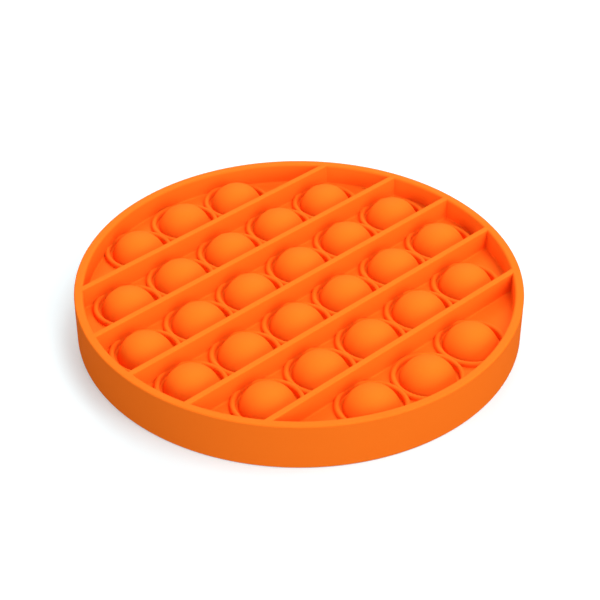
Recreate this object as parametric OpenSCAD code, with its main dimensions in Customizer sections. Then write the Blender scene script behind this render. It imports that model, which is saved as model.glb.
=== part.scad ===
// Round bubble popping toy, moulded in one piece of silicone rubber.
// A flat web closes a round rim at mid height, ribs divide it into rows,
// and each row holds thin domes that can be pushed through to the other side.
// Rim, web, ribs and rings are the same above and below the middle of the web.
// Rows run along X, the domes point up, and the origin is at the centre of the underside.

/* [Rim] */
// Outside diameter of the rim
rim_d = 125; // [90:1:160]
// Overall height of the rim
rim_h = 14; // [12:0.5:18]
// Thickness of the rim
rim_t = 2.5; // [2:0.1:4]
// Rounding of the rim's edges
rim_round = 0.5; // [0.3:0.05:0.9]

/* [Web] */
// Thickness of the flat web between the bubbles
web_t = 1.5; // [1:0.1:2]
// Fillet where ribs and rim rise from the web
foot_r = 0.5; // [0.2:0.05:0.8]

/* [Ribs] */
// Thickness of a rib at its free edge
rib_t = 1.8; // [1:0.1:2.4]
// Rounding of a rib's free edges
rib_round = 0.4; // [0.2:0.05:0.45]
// How far a rib stops short of the rim's edge
rib_drop = 0.2; // [0.1:0.05:2]
// Slope of the ribs' sides, in degrees
draft = 0.5; // [0:0.25:3]

/* [Bubbles] */
// Distance from one bubble to the next, and from row to row
pitch = 19.05; // [17:0.05:22]
// Height of a dome above the middle of the web
dome_h = 6.9; // [5:0.1:7]
// Thickness of a dome's skin
dome_t = 0.8; // [0.5:0.05:1.2]
// Width of the thin hinge at a dome's foot
hinge_w = 0.5; // [0.3:0.05:1]
// Thickness of that hinge
hinge_t = 0.6; // [0.4:0.05:0.9]

/* [Rings] */
// Width of the raised ring round a bubble
ring_w = 1.5; // [1:0.05:1.8]
// Height of a ring above the web
ring_h = 1.35; // [0.8:0.05:1.5]
// How far the rings of two neighbours run into each other
ring_merge = 1; // [0.6:0.05:1.4]
// How far a ring may run into the rim
end_merge = 1.4; // [0:0.1:1.8]

/* [Hidden] */
$fn = 96;
rim_r = rim_d / 2;
inner_r = rim_r - rim_t;
mid_z = rim_h / 2;
web_half = web_t / 2;

ring_r = (pitch + ring_merge) / 2;
ring_in_r = ring_r - ring_w;
ring_round = ring_w / 2;
ring_top = web_half + ring_h;
dome_r = ring_in_r - hinge_w;

rib_top = mid_z - rib_drop;
rib_foot_t = rib_t + 2 * (rib_top - web_half) * tan(draft);

// How far a shape reaches into the one that carries it.
bite = 0.4;

rows = floor(2 * inner_r / pitch);
row_y = [for (i = [0 : rows - 1]) (i - (rows - 1) / 2) * pitch];
rib_y = [for (i = [0 : rows - 2]) (i - (rows - 2) / 2) * pitch];

// A row takes as many bubbles as fit between the rim's walls.
reach = inner_r + end_merge - ring_r;
function row_count(y) = floor(2 * sqrt(max(reach * reach - y * y, 0)) / pitch) + 1;

// The middle bubble of an outer row sits halfway between the last rib and the rim.
last_rib_face = max(rib_y) + rib_foot_t / 2;
outer_mid_y = (last_rib_face + inner_r) / 2;
function is_outer_mid(i, k, n) = (i == 0 || i == rows - 1) && 2 * k + 1 == n;
function bubble_y(i, k, n) = is_outer_mid(i, k, n) ? sign(row_y[i]) * outer_mid_y : row_y[i];

bubbles = [
    for (i = [0 : rows - 1])
        let (n = row_count(row_y[i]))
            for (k = [0 : n - 1]) [(k - (n - 1) / 2) * pitch, bubble_y(i, k, n), mid_z]
];

// Radius of the ball whose cap stands dome_h above the middle of the web on a foot of radius dome_r.
cap_r = (dome_r * dome_r + dome_h * dome_h) / (2 * dome_h);
cap_z = dome_h - cap_r;

// The corner between a level surface through the origin and a wall that leans back by slope degrees.
module foot_fillet(r, slope) {
    reach_x = r * tan(45 - slope / 2);
    difference() {
        polygon([
            [-bite, -bite], [reach_x, -bite], [reach_x, 0], [reach_x, r],
            [-reach_x * sin(slope), reach_x * cos(slope)], [-bite, reach_x]
        ]);
        translate([reach_x, r]) circle(r);
    }
}

// A rectangle from x0 to x1 and z0 to z1 with round corners.
module round_box(x0, x1, z0, z1, r) {
    translate([x0, z0 + r]) square([x1 - x0, z1 - z0 - 2 * r]);
    translate([x0 + r, z0]) square([x1 - x0 - 2 * r, z1 - z0]);
    for (x = [x0 + r, x1 - r], z = [z0 + r, z1 - r]) translate([x, z]) circle(r);
}

// Section of rim and web, turned about the axis.
module rim_and_web() {
    rotate_extrude() {
        round_box(inner_r, rim_r, 0, rim_h, rim_round);
        translate([0, mid_z - web_half]) square([inner_r + rim_t / 2, web_t]);
        for (up = [1, -1])
            translate([inner_r, mid_z + up * web_half]) scale([-1, up]) foot_fillet(foot_r, 0);
    }
}

// Half of a rib's section, above the middle of the web.
module rib_half() {
    half_foot = rib_foot_t / 2;
    shoulder = rib_top - rib_round;
    half_shoulder = half_foot - (shoulder - web_half) * tan(draft);
    polygon([
        [-half_foot, -bite], [half_foot, -bite], [half_foot, web_half], [half_shoulder, shoulder],
        [-half_shoulder, shoulder], [-half_foot, web_half]
    ]);
    translate([-rib_t / 2 + rib_round, 0]) square([rib_t - 2 * rib_round, rib_top]);
    for (side = [1, -1]) {
        translate([side * (rib_t / 2 - rib_round), shoulder]) circle(rib_round);
        translate([side * half_foot, web_half]) scale([side, 1]) foot_fillet(foot_r, draft);
    }
}

module ribs() {
    for (y = rib_y) {
        half_l = sqrt(pow(inner_r + rim_t / 2, 2) - y * y);
        translate([-half_l, y, mid_z]) rotate([90, 0, 90]) linear_extrude(2 * half_l) {
            rib_half();
            mirror([0, 1]) rib_half();
        }
    }
}

// Half section of the raised ring, above the middle of the web.
module ring_half() {
    translate([ring_in_r, -bite]) square([ring_w, ring_top - ring_round + bite]);
    translate([ring_in_r + ring_round, ring_top - ring_round]) circle(ring_round);
}

// Half section of the thin dome and the hinge that carries it.
module dome_half() {
    difference() {
        translate([0, cap_z]) circle(cap_r);
        translate([0, cap_z]) circle(cap_r - dome_t);
        translate([-2 * cap_r, -4 * cap_r]) square([4 * cap_r, 4 * cap_r - hinge_t / 2]);
        translate([-4 * cap_r, -4 * cap_r]) square([4 * cap_r, 8 * cap_r]);
    }
    translate([dome_r - dome_t, -hinge_t / 2]) square([dome_t + hinge_w + bite, hinge_t]);
}

// One bubble with its ring, turned about its own axis.
module bubble() {
    rotate_extrude() {
        ring_half();
        mirror([0, 1]) ring_half();
        dome_half();
    }
}

module bubble_toy() {
    color("darkorange") {
        difference() {
            union() {
                rim_and_web();
                ribs();
            }
            for (b = bubbles) translate(b) cylinder(r = ring_in_r + bite, h = 2 * (web_half + bite), center = true);
        }
        for (b = bubbles) translate(b) bubble();
    }
}

bubble_toy();
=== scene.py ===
# %% [markdown]
# # A round bubble popping toy in silicone rubber
# The real toy is one piece of soft silicone, pressed in a two-part steel mould.
# A thin web closes a round rim at half its height, straight ribs divide it into rows,
# and thin domes stand in raised rings along each row, ready to be pushed through.
# The lesson draws each form as a small section, turns or stretches it into a solid,
# joins the solids into the one piece that leaves the mould, and lights it like a shop's picture.

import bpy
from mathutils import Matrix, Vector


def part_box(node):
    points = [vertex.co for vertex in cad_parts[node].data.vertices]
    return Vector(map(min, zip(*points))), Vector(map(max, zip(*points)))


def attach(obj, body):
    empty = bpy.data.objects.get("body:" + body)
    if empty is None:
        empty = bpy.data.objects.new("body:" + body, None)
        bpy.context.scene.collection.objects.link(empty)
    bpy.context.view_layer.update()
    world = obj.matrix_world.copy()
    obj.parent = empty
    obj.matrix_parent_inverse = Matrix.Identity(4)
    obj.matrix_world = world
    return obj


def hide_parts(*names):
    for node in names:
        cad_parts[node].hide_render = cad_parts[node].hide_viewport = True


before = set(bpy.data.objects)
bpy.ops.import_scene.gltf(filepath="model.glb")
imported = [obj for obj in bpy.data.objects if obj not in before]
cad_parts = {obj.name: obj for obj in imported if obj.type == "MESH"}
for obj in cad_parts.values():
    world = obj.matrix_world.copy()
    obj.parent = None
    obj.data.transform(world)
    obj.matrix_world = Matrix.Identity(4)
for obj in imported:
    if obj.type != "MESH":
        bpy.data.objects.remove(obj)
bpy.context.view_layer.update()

# %% [markdown]
# ## The sizes
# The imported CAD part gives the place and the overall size, so the rim's diameter and height
# are read from it. The other sizes are a maker's numbers in millimetres, written once each,
# so that a ring that grows takes its groove and its dome along.

# %% Sizes of rim, web and ribs
MM = 0.001
low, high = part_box("bubble_toy")
rim_r = (high.x - low.x) / 2 / MM
rim_h = (high.z - low.z) / MM
mid_z = rim_h / 2
rim_t = 2.5  # thickness of the rim
rim_round_in = 0.7  # rounding of its inner edges
rim_round_out = 0.5  # rounding of its outer edges
web_t = 1.5  # thickness of the web
foot_r = 0.5  # fillet where rim and ribs rise from the web
rib_t = 1.8  # thickness of a rib at its free edge
rib_round = 0.3  # rounding of that edge
rib_drop = 0.05  # how far a rib stops short of the rim's edge
rib_lean = 0.05  # how much further out each side of a rib stands at its foot
inner_r = rim_r - rim_t
web_top = web_t / 2
print(f"rim {2 * rim_r:.1f} mm across and {rim_h:.1f} mm high")

# %% Sizes of rings and domes
pitch = 19.05  # from one bubble to the next, and from row to row
ring_merge = 1.0  # how far the rings of two neighbours run into each other
ring_w = 1.5  # width of a ring
ring_h = 1.35  # height of a ring above the web
hinge_w = 0.8  # width of the groove between dome and ring, with the hinge in it
hinge_t = 0.6  # thickness of that hinge
dome_h = 6.9  # height of a dome above the middle of the web
dome_t = 0.8  # thickness of a dome's skin
ring_out_r = (pitch + ring_merge) / 2
ring_in_r = ring_out_r - ring_w
ring_top = web_top + ring_h
dome_r = ring_in_r - hinge_w
print(f"rings {2 * ring_out_r:.2f} mm across, domes {2 * dome_r:.2f} mm across at the foot")

# %% [markdown]
# ## Drawing a section
# A moulder's drawing shows a section with rounded corners. Here it is a chain of a few corner
# points, and the bevel operator rounds each corner that has a radius. Arcs could be worked out
# point by point instead, but a corner with its radius is easier to read and to change. The
# bevel in a script needs its settings spelled out, because its defaults differ from those of
# the editor.

# %% Helpers that draw and round a section
import bmesh
import bpy

CORNER_STEPS = 4


def round_corner(bm, vert, radius, steps=CORNER_STEPS):
    """Rounds one corner of a section to about the radius, in millimetres."""
    bmesh.ops.bevel(
        bm, geom=[vert], offset=radius * MM, offset_type="OFFSET",
        segments=steps, profile=0.5, affect="VERTICES", material=-1,
    )


def round_corners(bm, verts, corners):
    """Rounds each vertex whose corner (x, z, radius) has a radius."""
    for vert, (_, _, radius) in zip(verts, corners):
        if radius:
            round_corner(bm, vert, radius)


def draw_section(bm, corners, first=None, last=None):
    """Joins corners (x, z, radius) into a chain of edges, from vertex first to vertex last."""
    verts = [bm.verts.new((x * MM, 0, z * MM)) for x, z, _ in corners]
    chain = [v for v in [first, *verts, last] if v is not None]
    for pair in zip(chain, chain[1:]):
        bm.edges.new(pair)
    round_corners(bm, verts, corners)


# %% [markdown]
# ## Turning a section into a solid
# The rim and the bubbles are round, so their sections are spun a full turn about an upright
# axis, as on a lathe. The points on the axis come out many times over; merging them closes the
# poles, and the normals are made to point outwards after that.

# %% Helpers that turn a section and keep the result
import math

SAME_POINT = 0.0001  # points nearer than this to each other, in millimetres, are one


def close(bm):
    """Merges points that coincide and turns all faces outwards."""
    bmesh.ops.remove_doubles(bm, verts=bm.verts, dist=SAME_POINT * MM)
    bmesh.ops.recalc_face_normals(bm, faces=bm.faces)


def turn(bm, steps):
    """Spins the section a full turn about Z and closes it."""
    bmesh.ops.spin(
        bm, geom=bm.verts[:] + bm.edges[:], cent=(0, 0, 0), axis=(0, 0, 1),
        dvec=(0, 0, 0), angle=math.tau, steps=steps, use_merge=True,
    )
    close(bm)


def keep(bm, name):
    """Makes an object of the mesh, at the origin, and prints its size."""
    mesh = bpy.data.meshes.new(name)
    bm.to_mesh(mesh)
    bm.free()
    made = bpy.data.objects.new(name, mesh)
    bpy.context.scene.collection.objects.link(made)
    print(f"{name}: {len(mesh.vertices)} points, {len(mesh.polygons)} faces")
    return made


# %% [markdown]
# ## Rim and web
# The rim is a low round wall and the web a flat floor half way up it, the same above and
# below, so that the toy can be played on from both sides. One section holds both: it starts
# on the axis, runs out along the top of the web, over the rim and back along its underside.
# The small fillets are what a mould leaves where a wall rises from a floor. A cylinder whose
# ends are inset and pushed in would do as well, but its edges would have to be found again to
# round them.

# %% Build the rim and the web
RIM_STEPS = 192

bm = bmesh.new()
draw_section(bm, [
    (0, mid_z + web_top, 0),
    (inner_r, mid_z + web_top, foot_r),
    (inner_r, rim_h, rim_round_in),
    (rim_r, rim_h, rim_round_out),
    (rim_r, 0, rim_round_out),
    (inner_r, 0, rim_round_in),
    (inner_r, mid_z - web_top, foot_r),
    (0, mid_z - web_top, 0),
])
turn(bm, RIM_STEPS)
tray = keep(bm, "tray")

# %% [markdown]
# ## Ribs
# Five ribs run from rim to rim between the rows. They lean in a little towards their free
# edges, so that the mould lets them go, and their edges are rounded. The section is one flat
# face with twelve corners: the two wide steps lie just under the web's surfaces, so the fillet
# between them and the rib's side comes out of the web in a soft line. Each rib is stretched
# out of its own copy of the section, and ends in the middle of the rim's wall. A scaled cube
# would be quicker, but it would bring no fillets along.

# %% Build the ribs
SINK = 0.02  # how deep the foot of a fillet lies under the web's surface
rows = int(2 * inner_r // pitch)
rib_places = [(i - (rows - 2) / 2) * pitch for i in range(rows - 1)]
rib_top = mid_z - rib_drop
half_top = rib_t / 2
half_foot = half_top + rib_lean
step = web_top - SINK
wide = half_foot + foot_r

rib_side = [
    (half_top, rib_top, rib_round), (half_foot, step, foot_r), (wide, step, 0),
    (wide, -step, 0), (half_foot, -step, foot_r), (half_top, -rib_top, rib_round),
]
rib_section = rib_side + [(-x, z, r) for x, z, r in reversed(rib_side)]

bm = bmesh.new()
for y in rib_places:
    verts = [bm.verts.new((0, (y + x) * MM, (mid_z + z) * MM)) for x, z, _ in rib_section]
    bm.faces.new(verts)
    round_corners(bm, verts, rib_section)
for y, face in zip(rib_places, bm.faces[:]):
    half_length = math.sqrt((inner_r + rim_t / 2) ** 2 - y * y)
    bmesh.ops.translate(bm, verts=face.verts, vec=(-half_length * MM, 0, 0))
    grown = bmesh.ops.extrude_face_region(bm, geom=[face], use_keep_orig=True)
    moved = [v for v in grown["geom"] if isinstance(v, bmesh.types.BMVert)]
    bmesh.ops.translate(bm, verts=moved, vec=(2 * half_length * MM, 0, 0))
close(bm)
ribs = keep(bm, "ribs")

# %% [markdown]
# ## Where the bubbles sit
# The rows take as many bubbles as fit between the walls of the rim: three, five, six, six,
# five and three. The middle bubble of an outer row has a wide space between its rib and the
# rim, and it sits halfway. A list of 28 places would do, but it wouldn't follow the pitch.

# %% Work out the places
END_MERGE = 1.4  # how far a ring may run into the rim
reach = inner_r + END_MERGE - ring_out_r
outer_mid_y = (max(rib_places) + half_foot + inner_r) / 2


def row_places(row):
    """The (x, y) of each bubble in a row, in millimetres."""
    y = (row - (rows - 1) / 2) * pitch
    count = int(2 * math.sqrt(reach * reach - y * y) // pitch) + 1
    for k in range(count):
        middle = row in (0, rows - 1) and 2 * k + 1 == count
        yield (k - (count - 1) / 2) * pitch, math.copysign(outer_mid_y, y) if middle else y


places = [list(row_places(row)) for row in range(rows)]
print("bubbles in each row:", [len(row) for row in places])

# %% [markdown]
# ## One bubble
# A bubble is a thin cap of a ball on an even thinner hinge, inside a rounded ring. The cap is
# drawn by swinging a point about the centre of the ball, once for the outside and once for the
# inside of the skin. The rest of the section is a chain of corners from one arc to the other:
# across the hinge, over the ring, round its foot in the web, and back below. Half a ball and a
# torus could be joined instead, but one turned section keeps skin, hinge and ring one surface.

# %% Draw the bubble's section and turn it
DOME_STEPS = 12
DOME_FOOT_STEPS = 2
BUBBLE_STEPS = 48
RING_FLAT = 0.01  # half of the flat left on a ring, because two bevels may not meet
SKIRT = 0.02  # how far a ring's foot runs on inside the web, past its fillet
hinge_r = 0.22  # fillets in the groove
ring_foot_r = 0.12  # fillet at a ring's foot
cap_r = (dome_r ** 2 + dome_h ** 2) / (2 * dome_h)
cap_z = dome_h - cap_r


def swing(bm, radius, stop_z):
    """Swings a point down from the top of a ball to the height stop_z, and gives the last point."""
    top = bm.verts.new((0, 0, (cap_z + radius) * MM))
    angle = math.acos((stop_z - cap_z) / radius)
    swung = bmesh.ops.spin(
        bm, geom=[top], cent=(0, 0, cap_z * MM), axis=(0, 1, 0),
        dvec=(0, 0, 0), angle=angle, steps=DOME_STEPS, use_merge=False,
    )
    return next(g for g in swung["geom_last"] if isinstance(g, bmesh.types.BMVert))


ring_round = ring_w / 2 - RING_FLAT
ring_skirt = ring_out_r + ring_foot_r + SKIRT
upper = [
    (ring_in_r, hinge_t / 2, hinge_r), (ring_in_r, ring_top, ring_round),
    (ring_out_r, ring_top, ring_round), (ring_out_r, step, ring_foot_r), (ring_skirt, step, 0),
]

bm = bmesh.new()
foot_out = swing(bm, cap_r, hinge_t / 2)
foot_in = swing(bm, cap_r - dome_t, -hinge_t / 2)
draw_section(bm, upper + [(x, -z, r) for x, z, r in reversed(upper)], foot_out, foot_in)
round_corner(bm, foot_out, hinge_r, DOME_FOOT_STEPS)
turn(bm, BUBBLE_STEPS)
bubble = keep(bm, "bubble")

# %% [markdown]
# ## Joining the pieces
# What leaves the mould is one solid, so the forms are joined by boolean modifiers. A voxel
# remesh would join them too, but it would blur the grooves. First the web gets a hole for each
# bubble, then the bubbles go in. Neighbours in a row run into each other, and a boolean wants
# solids that don't, so the bubbles go in as four sets, none of which holds two neighbours.

# %% Helpers for copies and booleans
from mathutils import Vector


def copies(source, name, spots):
    """One object with a copy of the source at each (x, y), at the height of the web."""
    bm = bmesh.new()
    for x, y in spots:
        before = len(bm.verts)
        bm.from_mesh(source.data)
        bm.verts.ensure_lookup_table()
        bmesh.ops.translate(bm, verts=bm.verts[before:], vec=(x * MM, y * MM, mid_z * MM))
    return keep(bm, name)


def remove(thing):
    """Takes an object and its mesh out of the scene."""
    mesh = thing.data
    bpy.data.objects.remove(thing)
    bpy.data.meshes.remove(mesh)


def combine(target, tool, operation):
    """Applies one boolean to the target and takes the tool away."""
    cut = target.modifiers.new(operation, "BOOLEAN")
    cut.object = tool
    cut.operation = operation
    cut.solver = "MANIFOLD"
    bpy.context.view_layer.update()
    graph = bpy.context.evaluated_depsgraph_get()
    result = bpy.data.meshes.new_from_object(target.evaluated_get(graph))
    target.modifiers.clear()
    old = target.data
    target.data = result
    bpy.data.meshes.remove(old)
    remove(tool)


# %% Cut the holes and join everything
BITE = 0.4  # how far a plug reaches into a ring, and past the web above and below
HOLE_STEPS = 64

bm = bmesh.new()
bmesh.ops.create_cone(
    bm, cap_ends=True, segments=HOLE_STEPS, radius1=(ring_in_r + BITE) * MM,
    radius2=(ring_in_r + BITE) * MM, depth=2 * (web_top + BITE) * MM,
)
plug = keep(bm, "plug")

combine(tray, ribs, "UNION")
combine(tray, copies(plug, "plugs", [spot for row in places for spot in row]), "DIFFERENCE")
for row_turn in range(2):
    for spot_turn in range(2):
        spots = [spot for row in places[row_turn::2] for spot in row[spot_turn::2]]
        combine(tray, copies(bubble, "bubble_set", spots), "UNION")
remove(plug)
remove(bubble)

toy = tray
toy.name = toy.data.name = "silicone_toy"
print("joined:", len(toy.data.polygons), "faces")

# %% [markdown]
# ## A clean mesh
# Where surfaces nearly touch, a boolean leaves points that all but coincide, slivers without
# an area, and now and then two faces back to back that close off nothing. A mesh that is to be
# used again, or printed, has none of these. They go before the shading, which would show them
# as specks. The web's faces have many corners, and each program splits such faces in its own
# way, so they are split here, once for all.

# %% Clear what the booleans left
SLIVER = 0.0005  # points nearer than this, and edges shorter, in millimetres, are leftovers

bm = bmesh.new()
bm.from_mesh(toy.data)
bmesh.ops.remove_doubles(bm, verts=bm.verts, dist=SLIVER * MM)
bmesh.ops.dissolve_degenerate(bm, edges=bm.edges, dist=SLIVER * MM)
back_to_back = [f for f in bm.faces if len({near for e in f.edges for near in e.link_faces}) == 2]
bmesh.ops.delete(bm, geom=back_to_back, context="FACES")
bmesh.ops.triangulate(bm, faces=[f for f in bm.faces if len(f.verts) > 4], ngon_method="BEAUTY")
open_edges = sum(not e.is_manifold for e in bm.edges)
triangles = sum(len(f.verts) - 2 for f in bm.faces)
volume = bm.calc_volume() / MM ** 3
bm.to_mesh(toy.data)
bm.free()
print(f"{triangles} triangles, {open_edges} open edges, {volume:.0f} mm3 of silicone")

# %% [markdown]
# ## Soft or crisp
# Faces that meet at a small angle are shaded as one smooth skin. Where two forms run into each
# other the crease stays. Weighted normals keep the web and the ribs flat right up to their
# fillets, because the large faces then decide which way the surface looks.

# %% Shade the toy
CREASE = math.radians(35)

toy.data.shade_smooth()
toy.data.set_sharp_from_angle(angle=CREASE)
weighted = toy.modifiers.new("even_normals", "WEIGHTED_NORMAL")
weighted.keep_sharp = True
print("sharp edges:", sum(e.use_edge_sharp for e in toy.data.edges))

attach(toy, "root")
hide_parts("bubble_toy")

# %% [markdown]
# ## Silicone rubber
# The toy is pigmented silicone, cured under heat in a steel mould whose faces were spark eroded.
# That gives the eye a soft, matte skin: no highlights, a colour that is full in the light and
# turns to a deep red-orange in the grooves, where light has bounced from rubber to rubber.
# A clear silicone would need subsurface scattering, but pigment lets hardly any light in.
# A clear sheen would look like hard plastic, so the specular level is far below the usual one.
# The pigment is stirred in by machine and never quite even, so colour and dullness drift a
# little over about a centimetre. The eroded grain is a few hundredths of a millimetre, too fine
# to show, so it is drawn ten times as coarse, for a faint tooth in a close view.

# %% Helpers for colours and nodes


def colour(code):
    """Turns an sRGB hex code into Blender's linear colour."""
    parts = [int(code[i:i + 2], 16) / 255 for i in (1, 3, 5)]
    return (*[c / 12.92 if c <= 0.04045 else ((c + 0.055) / 1.055) ** 2.4 for c in parts], 1)


def add(tree, kind, inputs, **settings):
    """Adds a node; inputs holds values, or the sockets that they come from."""
    made = tree.nodes.new(kind)
    for name, value in settings.items():
        setattr(made, name, value)
    for name, value in inputs.items():
        if isinstance(value, bpy.types.NodeSocket):
            tree.links.new(value, made.inputs[name])
        else:
            made.inputs[name].default_value = value
    return made


def new_material(name):
    """An empty node material and its tree."""
    made = bpy.data.materials.new(name)
    made.use_nodes = True
    made.node_tree.nodes.clear()
    return made, made.node_tree


# %% Mix the silicone
PIGMENT_DRIFT = 12 * MM
GRAIN = 0.5 * MM
GRAIN_DEPTH = 0.02 * MM

material, tree = new_material("moulded_silicone_rubber")
coords = add(tree, "ShaderNodeTexCoord", {}).outputs["Object"]
cloud = add(tree, "ShaderNodeTexNoise", {"Vector": coords, "Scale": 1 / PIGMENT_DRIFT, "Detail": 3.0})
tint = add(tree, "ShaderNodeMix", {
    "Factor": cloud.outputs["Fac"], "A": colour("#FE781E"), "B": colour("#FD761C"),
}, data_type="RGBA")
dullness = add(tree, "ShaderNodeMapRange", {
    "Value": cloud.outputs["Fac"], "To Min": 0.64, "To Max": 0.76,
})
grain = add(tree, "ShaderNodeTexNoise", {"Vector": coords, "Scale": 1 / GRAIN, "Detail": 2.0})
bump = add(tree, "ShaderNodeBump", {
    "Height": grain.outputs["Fac"], "Strength": 0.3, "Distance": GRAIN_DEPTH,
})
skin = add(tree, "ShaderNodeBsdfPrincipled", {
    "Base Color": tint.outputs["Result"], "Roughness": dullness.outputs["Result"],
    "Normal": bump.outputs["Normal"], "IOR": 1.41, "Specular IOR Level": 0.04,
})
add(tree, "ShaderNodeOutputMaterial", {"Surface": skin.outputs["BSDF"]})
toy.data.materials.clear()
toy.data.materials.append(material)
print(f"{material.name}: {len(tree.nodes)} nodes")

# %% [markdown]
# ## Floor
# The toy lies on a plain sweep of uncoated white paper. In the picture the sweep was cleared to
# white, and only a faint grey shadow is left on one side. The sheet that the camera sees is
# therefore bright and slightly cool, which takes the toy's orange out of the shadow. It glows a
# little, and more further out, so that no edge shows from low down. What the toy gets back from
# it is a duller bounce, because the toy's wall is darker towards its foot than a bright table
# would leave it. The Light Path node tells the two apart. Paper fibres are about a millimetre
# long, and give the sheet a tooth that only just shows.

# %% Lay the floor
FLOOR_HALF = 3.0
GLOW_NEAR = 0.33
GLOW_FAR = 1.0
GLOW_GROWS_FROM = 100 * MM
GLOW_GROWS_TO = 600 * MM
FIBRE = 0.8 * MM
FIBRE_DEPTH = 0.02 * MM

bm = bmesh.new()
bmesh.ops.create_grid(bm, x_segments=1, y_segments=1, size=FLOOR_HALF)
floor = keep(bm, "floor")
paper, tree = new_material("uncoated_white_paper")
seen = add(tree, "ShaderNodeLightPath", {}).outputs["Is Camera Ray"]
tone = add(tree, "ShaderNodeMix", {
    "Factor": seen, "A": colour("#7C7C7C"), "B": colour("#CCDADD"),
}, data_type="RGBA")
coords = add(tree, "ShaderNodeTexCoord", {}).outputs["Object"]
away = add(tree, "ShaderNodeVectorMath", {"Vector": coords}, operation="LENGTH")
brighter = add(tree, "ShaderNodeMapRange", {
    "Value": away.outputs["Value"], "From Min": GLOW_GROWS_FROM, "From Max": GLOW_GROWS_TO,
    "To Min": GLOW_NEAR, "To Max": GLOW_FAR,
})
glow = add(tree, "ShaderNodeMath", {0: seen, 1: brighter.outputs["Result"]}, operation="MULTIPLY")
fibres = add(tree, "ShaderNodeTexNoise", {"Vector": coords, "Scale": 1 / FIBRE, "Detail": 2.0})
bump = add(tree, "ShaderNodeBump", {
    "Height": fibres.outputs["Fac"], "Strength": 0.2, "Distance": FIBRE_DEPTH,
})
sheet = add(tree, "ShaderNodeBsdfPrincipled", {
    "Base Color": tone.outputs["Result"], "Roughness": 0.9, "Specular IOR Level": 0.0,
    "Emission Color": colour("#FFFFFF"), "Emission Strength": glow.outputs["Value"],
    "Normal": bump.outputs["Normal"],
})
add(tree, "ShaderNodeOutputMaterial", {"Surface": sheet.outputs["BSDF"]})
floor.data.materials.append(paper)
print(f"{paper.name}: {len(tree.nodes)} nodes")

# %% [markdown]
# ## Light
# Four square soft lamps stand round the toy, all at the same distance, in a faint light from
# all round. The one overhead and the one behind draw the rim's edge, the ribs and the tops of
# the domes. The two low ones, left and right, light the outer wall, which fades to the left,
# and fill the grooves. Large lamps keep every shadow soft, as in the picture. The tent round
# them lights the toy faintly and looks plain white itself.

# %% Set the lamps
TENT_STRENGTH = 0.2
LAMP_WIDTH = 0.7
LAMP_DISTANCE = 1.2

world = bpy.data.worlds.new("white_tent")
bpy.context.scene.world = world
world.use_nodes = True
tree = world.node_tree
seen = add(tree, "ShaderNodeLightPath", {}).outputs["Is Camera Ray"]
strength = add(tree, "ShaderNodeMath", {0: seen, 1: TENT_STRENGTH}, operation="MAXIMUM")
tree.nodes["Background"].inputs["Color"].default_value = colour("#FFFFFF")
tree.links.new(strength.outputs["Value"], tree.nodes["Background"].inputs["Strength"])


def lamp(name, turned, raised, watts):
    """A square soft lamp that looks at the toy, turned from X towards Y and raised, in degrees."""
    a, e = math.radians(turned), math.radians(raised)
    place = LAMP_DISTANCE * Vector((math.cos(a) * math.cos(e), math.sin(a) * math.cos(e), math.sin(e)))
    data = bpy.data.lights.new(name, "AREA")
    data.energy = watts
    data.size = LAMP_WIDTH
    made = bpy.data.objects.new(name, data)
    made.location = place
    made.rotation_euler = (-place).to_track_quat("-Z", "Y").to_euler()
    bpy.context.scene.collection.objects.link(made)
    print(f"lamp {name}: {watts} W, {turned} degrees round, {raised} degrees up")


lamp("overhead", 300, 65, 7.9)
lamp("back", 45, 42, 8.3)
lamp("right", 268, 20, 8.4)
lamp("left", 180, 20, 5.9)
bpy.context.scene.view_settings.view_transform = "Standard"

# %% [markdown]
# ## Camera
# The camera's place was found by matching the outline of the rim, the ribs and the domes with
# the photograph. Its small shift keeps the toy where it lies in the picture.

# %% Place the camera
from mathutils import Matrix

PICTURE = 600  # width and height of the photograph, in pixels
focal_px = 1639.1  # focal length, in the same pixels
centre_x = 298.97  # where the lens's axis meets the picture, from the left
centre_y = 319.0  # and from the top
distance = 0.46588  # from the middle of the toy's underside, in metres
azimuth = math.radians(-43.523)
elevation = math.radians(37.408)
roll = math.radians(0.14)

back = Vector((math.sin(azimuth) * math.cos(elevation),
               -math.cos(azimuth) * math.cos(elevation), math.sin(elevation)))
level = Vector((0, 0, 1)).cross(back).normalized()
upright = back.cross(level)
right = math.cos(roll) * level + math.sin(roll) * upright
up = math.cos(roll) * upright - math.sin(roll) * level

camera_data = bpy.data.cameras.new("camera")
camera_data.sensor_width = 36
camera_data.lens = camera_data.sensor_width * focal_px / PICTURE
camera_data.shift_x = (PICTURE / 2 - centre_x) / PICTURE
camera_data.shift_y = (centre_y - PICTURE / 2) / PICTURE
camera = bpy.data.objects.new("camera", camera_data)
camera.matrix_world = Matrix.Translation(back * distance) @ Matrix((right, up, back)).transposed().to_4x4()
bpy.context.scene.collection.objects.link(camera)
bpy.context.scene.camera = camera
print(f"camera: {distance:.3f} m away, {camera_data.lens:.1f} mm lens")
